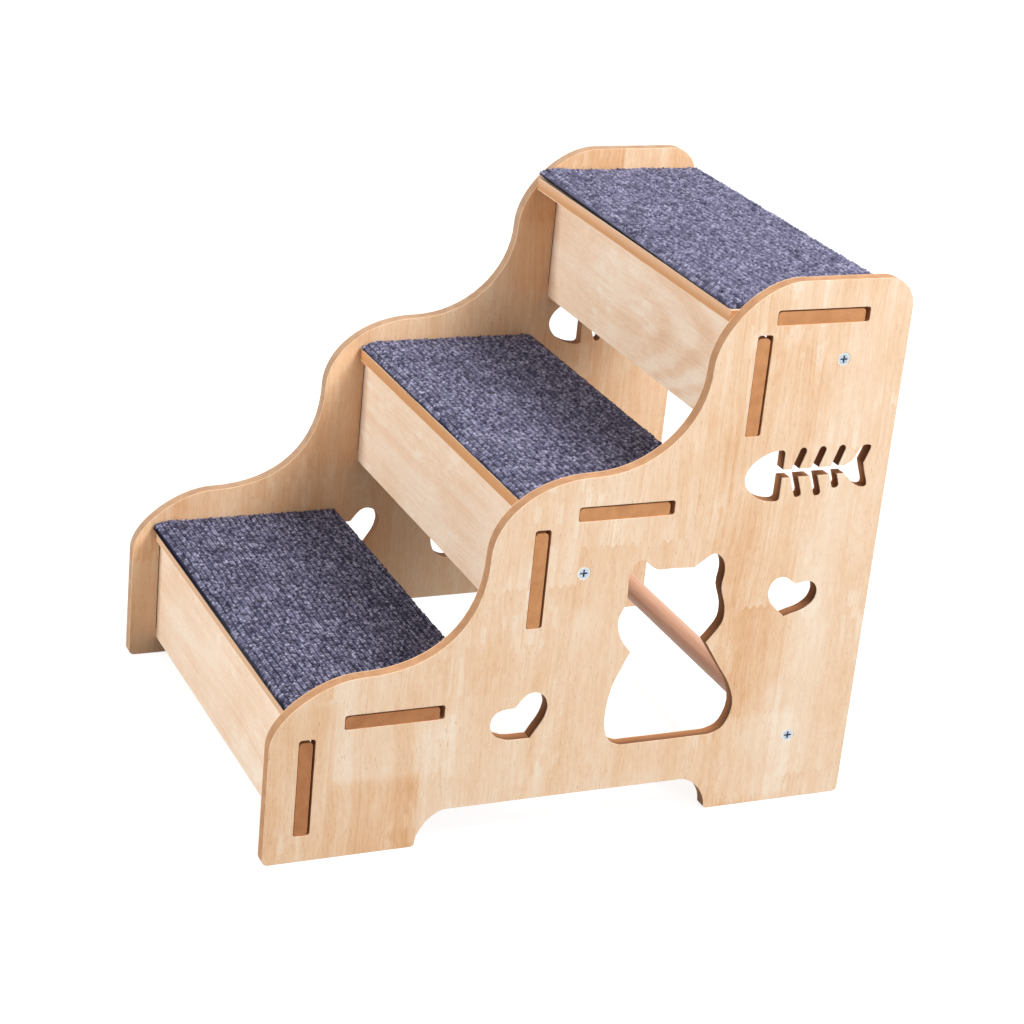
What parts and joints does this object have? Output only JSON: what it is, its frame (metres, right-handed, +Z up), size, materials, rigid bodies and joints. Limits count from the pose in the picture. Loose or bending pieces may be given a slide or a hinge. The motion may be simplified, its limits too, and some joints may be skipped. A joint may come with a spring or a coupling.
{
  "type": "pet stairs",
  "caption": "Stepped wooden stairs for a cat or small dog: shaped side panels with cut-outs, carpeted treads, tenoned risers and screwed round rails.",
  "frame": {"origin": "on the floor, in the middle of the footprint", "axes": "+X to the climber's right across the width, +Y the way up the stairs from the lowest step to the back, +Z up"},
  "size_m": [0.32, 0.42, 0.375],
  "materials": {
    "side_board": "pale wood veneer with upright grain over a brown fibreboard core, satin",
    "tread_board": "pale wood veneer over a brown fibreboard core, satin",
    "riser_board": "paler wood veneer over a brown fibreboard core, satin",
    "carpet": "blue-grey mottled ribbed needle felt carpet",
    "rail_wood": "plain pinkish brown round bar, smooth",
    "screw_steel": "zinc plated, bluish in the recess"
  },
  "bodies": {
    "root": {"side_panel_left": "side_board", "side_panel_right": "side_board", "tread_lower": "tread_board", "tread_middle": "tread_board", "tread_upper": "tread_board", "riser_lower": "riser_board", "riser_middle": "riser_board", "riser_upper": "riser_board", "carpet_lower": "carpet", "carpet_middle": "carpet", "carpet_upper": "carpet", "rail_lower": "rail_wood", "rail_middle": "rail_wood", "rail_upper": "rail_wood", "screw_left_lower": "screw_steel", "screw_left_middle": "screw_steel", "screw_left_upper": "screw_steel", "screw_right_lower": "screw_steel", "screw_right_middle": "screw_steel", "screw_right_upper": "screw_steel"}
  },
  "joints": []
}
